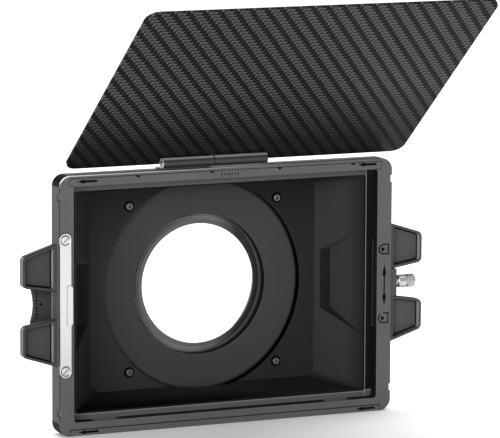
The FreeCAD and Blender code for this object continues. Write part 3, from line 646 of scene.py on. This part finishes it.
def arrow(x0, x1, z, head=3.4, head_half=0.95, shaft_half=0.5):
    """Arrow pointing left."""
    return [(x0, z), (x0 + head, z - head_half), (x0 + head, z - shaft_half), (x1, z - shaft_half),
            (x1, z + shaft_half), (x0 + head, z + shaft_half), (x0 + head, z + head_half)]


def double_arrow(x, z0, z1, head=5.6, barb=4.48, head_half=0.95, shaft_half=0.28):
    """Arrow pointing up and down, with swept-back barbs."""
    return [(x, z0), (x + head_half, z0 + barb), (x + shaft_half, z0 + head),
            (x + shaft_half, z1 - head), (x + head_half, z1 - barb), (x, z1),
            (x - head_half, z1 - barb), (x - shaft_half, z1 - head),
            (x - shaft_half, z0 + head), (x - head_half, z0 + barb)]


def bar(x, z, half_w, half_h):
    return [(x - half_w, z - half_h), (x + half_w, z - half_h), (x + half_w, z + half_h),
            (x - half_w, z + half_h)]


def disc_outline(x, z, r, count=20):
    return [(x + r * math.cos(2 * math.pi * k / count), z + r * math.sin(2 * math.pi * k / count))
            for k in range(count)]


def latch_icon(x, z, gap):
    """D-shaped outline with a dot; gap leaves its upper left open, for the unlocked state."""
    half_w, half_h, line, bow, steps = 2.3, 2.1, 0.28, 0.1, 14
    dot_x, dot_z, dot_r = x - 0.4, z - 0.1, 0.85
    gap_start, gap_end = 3, 5
    path = [(x + half_w, z - half_h), (x + half_w, z + half_h)]
    sweep = [math.pi / 2 + math.pi * k / steps for k in range(steps + 1)]
    path += [(x + bow + (half_w + bow) * math.cos(a), z + half_h * math.sin(a)) for a in sweep]
    if gap:
        path = path[gap_end:] + path[:gap_start]
        pairs = list(zip(path, path[1:]))
    else:
        pairs = list(zip(path, path[1:] + path[:1]))
    segments = []
    for (xa, za), (xb, zb) in pairs:
        run = Vector((xb - xa, zb - za)).normalized()
        side = Vector((-run.y, run.x)) * line
        over = run * line * 0.5
        segments.append([(xa - over.x + side.x, za - over.y + side.y),
                         (xb + over.x + side.x, zb + over.y + side.y),
                         (xb + over.x - side.x, zb + over.y - side.y),
                         (xa - over.x - side.x, za - over.y - side.y)])
    segments.append(disc_outline(dot_x, dot_z, dot_r))
    return segments


def marks(material):
    """Direction arrows, size ticks and latch symbols on the front stage."""
    fixed = ("front_stage", "moulded", material)
    for name, tip, tail, z in (("top_left", -70.6, -61.4, 53.2), ("top_right", 62.2, 71.4, 53.6),
                               ("bottom_left", -70.3, -61.0, -55.6),
                               ("bottom_right", 62.2, 71.5, -55.6)):
        inlay("rail_arrow_" + name, [arrow(tip, tail, z)], 0, *fixed)
    first_tick, tick_pitch, tick_z, long_half, short_half = -3.2, 1.3, 52.9, 0.95, 0.55
    ticks = [bar(first_tick + tick_pitch * k, tick_z, 0.18, short_half if k % 3 else long_half)
             for k in range(7)]
    inlay("size_ticks", ticks, 0, *fixed)
    inlay("slide_arrows", [double_arrow(75.7, -10.0, 8.7)], 0, *fixed)
    latch_x, latch_z = 75.3, 15.4
    inlay("latch_closed_symbol", latch_icon(latch_x, latch_z, False), 0, *fixed)
    inlay("latch_open_symbol", latch_icon(latch_x, -latch_z, True), 0, *fixed)


def tab_marks(material):
    """Pointer and a column of generic ticks on the release tab."""
    depth = 9.4
    pointer_x, pointer_half, pointer_low, pointer_high = -83.6, 0.8, -0.8, 1.0
    pointer = [(pointer_x - pointer_half, pointer_low), (pointer_x + pointer_half, pointer_low),
               (pointer_x, pointer_high)]
    tick_x, top_tick, tick_pitch = -85.6, 6.0, 1.5
    ticks = [bar(tick_x, top_tick - tick_pitch * k, 0.7 if k % 2 else 0.45, 0.28) for k in range(9)]
    inlay("tab_pointer", [pointer], depth, "shade", "moulded", material)
    inlay("tab_ticks", ticks, depth, "shade", "moulded", material)


def knurled_grip(material):
    """Diamond knurl around the outer half of the thumb screw's knob."""
    low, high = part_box("thumb_screw")
    axis_y, axis_z = (low.y + high.y) / 2, (low.z + high.z) / 2
    root, ridge = 2.86 * MM, 0.169 * MM
    start, end = high.x - 4.05 * MM, high.x - 0.5 * MM
    around, steps, starts, lead = 120, 34, 20, 1.05
    verts, faces = [], []
    for i in range(steps + 1):
        x = start + (end - start) * i / steps
        fade = min(1.0, i / 2, (steps - i) / 2)
        for k in range(around):
            angle = 2 * math.pi * k / around
            twist = lead * (x - start) / root
            first = abs(math.sin((angle + twist) * starts / 2))
            second = abs(math.sin((angle - twist) * starts / 2))
            r = root + ridge * fade * min(first, second)
            verts.append(Vector((x, axis_y + r * math.cos(angle), axis_z + r * math.sin(angle))))
    for i in range(steps):
        for k in range(around):
            j = (k + 1) % around
            faces.append([i * around + k, i * around + j, (i + 1) * around + j, (i + 1) * around + k])
    for ring, flip in ((0, True), (steps, False)):
        edge = [ring * around + k for k in range(around)]
        faces.append(edge[::-1] if flip else edge)
    add_piece("knurled_grip", verts, faces, "thumb_screw", material)


# ---- camera, light and floor -------------------------------------------------------------

def camera():
    """Long lens, a little left of the object and above it."""
    azimuth, elevation, roll = math.radians(-24.455), math.radians(8.43), math.radians(0.238)
    distance, sensor_mm, focal_mm = 1.7422, 36.0, 288.47
    target = Vector((0.0103, cad_face, 0.0326))
    back = Vector((math.sin(azimuth) * math.cos(elevation), -math.cos(azimuth) * math.cos(elevation),
                   math.sin(elevation)))
    right = Vector((math.cos(azimuth), math.sin(azimuth), 0.0))
    up = back.cross(right)
    turned_right = right * math.cos(roll) + up * math.sin(roll)
    turned_up = up * math.cos(roll) - right * math.sin(roll)
    data = bpy.data.cameras.new("camera")
    data.sensor_width = sensor_mm
    data.lens = focal_mm
    data.clip_start = 0.05
    data.clip_end = 20.0
    made = bpy.data.objects.new("camera", data)
    axes = Matrix((turned_right, turned_up, back)).transposed().to_4x4()
    made.matrix_world = Matrix.Translation(target + back * distance) @ axes
    bpy.context.scene.collection.objects.link(made)
    bpy.context.scene.camera = made


def lamp(name, where, size, power):
    """Area lamp that points at the origin."""
    data = bpy.data.lights.new(name, "AREA")
    data.shape = "RECTANGLE"
    data.size, data.size_y = size
    data.energy = power
    made = bpy.data.objects.new(name, data)
    made.location = where
    made.rotation_euler = (-Vector(where)).to_track_quat("-Z", "Y").to_euler()
    bpy.context.scene.collection.objects.link(made)


def studio():
    """Pale floor, a soft key at the front left, a top bank, pale surround."""
    surround_strength, reach, level = 0.66, 6.0, cad_box[0][2]
    world = bpy.data.worlds.new("surround")
    world.use_nodes = True
    background = world.node_tree.nodes["Background"]
    background.inputs["Color"].default_value = grey(1.0)
    background.inputs["Strength"].default_value = surround_strength
    bpy.context.scene.world = world
    bpy.context.scene.view_settings.view_transform = "Standard"
    lamp("key", (-1.35, -1.25, 0.55), (0.8, 0.8), 20.0)
    lamp("top", (0.2, 0.55, 2.4), (3.0, 1.2), 80.0)
    mesh = bpy.data.meshes.new("floor")
    mesh.from_pydata([(-reach, -reach, level), (reach, -reach, level), (reach, reach, level),
                      (-reach, reach, level)], [], [(0, 1, 2, 3)])
    floor = bpy.data.objects.new("floor", mesh)
    bpy.context.scene.collection.objects.link(floor)
    g = Graph("floor")
    cloud = g.noise(g.place(), 3, 3.0)
    g.set(base_color=g.blend(cloud, grey(0.93), grey(0.96)), roughness=0.9)
    mesh.materials.append(g.material)


# ---- put together --------------------------------------------------------------------------

flag_hinge = Vector(joints["flag_hinge"]["pos_m"])

frame_nylon = moulded("frame_nylon", 0.098, edge_gain=2.2, shine=0.04, paint=frame_paint,
                      edge_paint=frame_edges)
hood_nylon = moulded("hood_nylon", 0.018, edge_gain=1.9, rough=0.7, shine=0.01, paint=hood_paint)
tab_nylon = moulded("tab_nylon", 0.047, shine=0.05)
nickel = metal("nickel", 0.63, 0.28, (1, 1, 0.02), streaks=500.0, dark_edges=0.9)
steel = metal("steel", 0.50, 0.30, (0.03, 1, 1), dark_edges=0.5)
bar_nylon = moulded("bar_nylon", 0.012, edge_gain=1.0, shine=0.02)
black_oxide = metal("black_oxide", 0.09, 0.42, wear_and_sheen=0.35)
# ring screws: a paler copy of the black oxide as painted light, with pale edges as wear and painted
# highlight
oxide_wear_and_sheen = metal("oxide_wear_and_sheen", 0.14, 0.36, wear_and_sheen=0.5)
satin = metal("satin_anodised", 0.058, 0.30, (0.02, 1, 1), wear_and_sheen=0.3, paint=barrel_paint, metallic=0.4)
turned_black = turned("turned_black", 0.046, 0.6, disc_paint)
turned_grey = turned("turned_grey", 0.155, 0.5, nose_paint)
marking = ink()

FINISH = {
    "front_frame": frame_nylon, "top_rail": frame_nylon, "bottom_rail": frame_nylon,
    "retainer_plate": nickel, "retainer_screws": nickel, "thumb_screw": steel, "hinge_pin": steel,
    "keeper_right": frame_nylon, "keeper_left_upper": frame_nylon, "keeper_left_lower": frame_nylon,
    "clamp_bar": bar_nylon, "shade_housing": hood_nylon, "ring_carrier": hood_nylon,
    "rear_retainer": hood_nylon, "release_tab": tab_nylon,
    "keeper_screws": black_oxide, "hinge_leaf_screws": black_oxide, "flag_screws": black_oxide,
    "release_tab_screws": black_oxide, "ring_screws": oxide_wear_and_sheen, "carrier_screws": black_oxide,
    "adapter_set_screws": black_oxide,
    "hinge_leaf_fixed": satin, "hinge_leaf_moving": satin,
    "screw_insert": brass(), "friction_bush": brass(),
    "flag_panel": carbon(), "friction_ring": felt(),
    "adapter_disc": turned_black, "lens_adapter": turned_grey,
}

for name, node in nodes.items():
    node.data.materials.clear()
    node.data.materials.append(FINISH[name])

marks(marking)
tab_marks(marking)
knurled_grip(steel)
camera()
studio()
